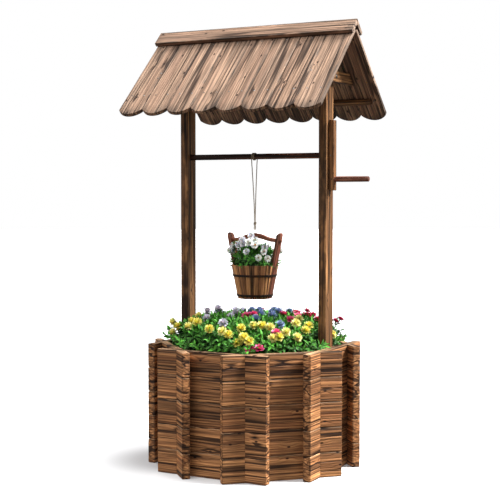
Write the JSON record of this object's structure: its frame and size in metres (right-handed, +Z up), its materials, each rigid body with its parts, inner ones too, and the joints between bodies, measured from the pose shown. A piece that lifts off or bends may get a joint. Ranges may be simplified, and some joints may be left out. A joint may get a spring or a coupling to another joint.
{
  "type": "wishing well planter",
  "caption": "Wooden wishing well planter: an octagonal bed of lapped boards with a scalloped gable roof on posts, and a crank windlass that lifts a planted bucket.",
  "frame": {"origin": "middle of the base, on the ground", "axes": "+Z up, -Y towards the front, +X towards the side with the crank"},
  "size_m": [0.6083, 0.5506, 1.1401],
  "materials": {
    "wall_wood": "charred and brushed softwood, satin",
    "floor_wood": "plain sawn softwood",
    "post_wood": "charred and brushed softwood, satin",
    "roof_wood": "lightly charred softwood, satin",
    "axle_wood": "stained round bar",
    "red_wood": "reddish brown stained wood",
    "bucket_wood": "charred and brushed softwood, satin",
    "bag_cloth": "black woven bag cloth",
    "soil": "moist potting soil",
    "steel": "zinc plated",
    "hoop_steel": "dark brown band",
    "twine": "natural twine",
    "leaves": "green leaves",
    "yellow_petals": "yellow petals",
    "pink_petals": "pink petals",
    "pale_petals": "pale blue and white petals",
    "white_petals": "white petals"
  },
  "bodies": {
    "well": {"front_wall_boards": "wall_wood", "front_right_wall_boards": "wall_wood", "right_wall_boards": "wall_wood", "rear_right_wall_boards": "wall_wood", "rear_wall_boards": "wall_wood", "rear_left_wall_boards": "wall_wood", "left_wall_boards": "wall_wood", "front_left_wall_boards": "wall_wood", "floor_bearers": "floor_wood", "floor_slats": "floor_wood", "planting_bag": "bag_cloth", "bed_soil": "soil", "left_post": "post_wood", "right_post": "post_wood", "frame_screws": "steel", "front_roof_board_1": "roof_wood", "front_roof_board_2": "roof_wood", "front_roof_board_3": "roof_wood", "front_roof_board_4": "roof_wood", "front_roof_board_5": "roof_wood", "front_roof_board_6": "roof_wood", "front_roof_board_7": "roof_wood", "front_roof_board_8": "roof_wood", "rear_roof_board_1": "roof_wood", "rear_roof_board_2": "roof_wood", "rear_roof_board_3": "roof_wood", "rear_roof_board_4": "roof_wood", "rear_roof_board_5": "roof_wood", "rear_roof_board_6": "roof_wood", "rear_roof_board_7": "roof_wood", "rear_roof_board_8": "roof_wood", "front_ridge_board": "roof_wood", "rear_ridge_board": "roof_wood", "left_gable_tie": "post_wood", "right_gable_tie": "post_wood", "lower_battens": "post_wood", "upper_battens": "post_wood", "roof_nails": "steel", "bed_foliage": "leaves", "yellow_blossoms": "yellow_petals", "pink_blossoms": "pink_petals", "pale_blossoms": "pale_petals"},
    "windlass": {"windlass_axle": "axle_wood", "crank_arm": "post_wood", "crank_handle": "red_wood", "windlass_pins": "steel"},
    "rope": {"rope_winding": "twine", "rope_front_strand": "twine", "rope_rear_strand": "twine"},
    "knot": {"rope_knot": "twine"},
    "loop": {"rope_loop": "twine"},
    "bail": {"bucket_bail": "red_wood"},
    "bucket": {"bucket_staves": "bucket_wood", "left_ear_stave": "red_wood", "right_ear_stave": "red_wood", "bucket_bottom": "bucket_wood", "bucket_hoops": "hoop_steel", "bucket_soil": "soil", "bucket_foliage": "leaves", "bucket_blossoms": "white_petals"}
  },
  "joints": [
    {"name": "windlass_turn", "type": "hinge", "parent": "well", "child": "windlass", "pos_m": [0, 0, 0.8], "axis": [1, 0, 0], "range_deg": [0, 900]},
    {"name": "bucket_swing", "type": "hinge", "parent": "well", "child": "rope", "pos_m": [0, 0, 0.8], "axis": [1, 0, 0], "range_deg": [-25, 25]},
    {"name": "bucket_lift", "type": "slide", "parent": "rope", "child": "knot", "axis": [0, 0, 1], "range_m": [0, 0.143], "deforming": ["rope_front_strand", "rope_rear_strand"]},
    {"name": "bucket_twist", "type": "hinge", "parent": "knot", "child": "loop", "pos_m": [0, 0, 0.62], "axis": [0, 0, 1], "range_deg": [-90, 90]},
    {"name": "bucket_rock", "type": "hinge", "parent": "loop", "child": "bail", "pos_m": [0, 0, 0.594], "axis": [0, 1, 0], "range_deg": [-12, 12]},
    {"name": "bucket_tip", "type": "hinge", "parent": "bail", "child": "bucket", "pos_m": [0, 0, 0.582], "axis": [1, 0, 0], "range_deg": [-30, 30]}
  ],
  "couplings": [
    {"joint": "bucket_lift", "follows": "windlass_turn", "m_per_rad": 0.0091}
  ]
}
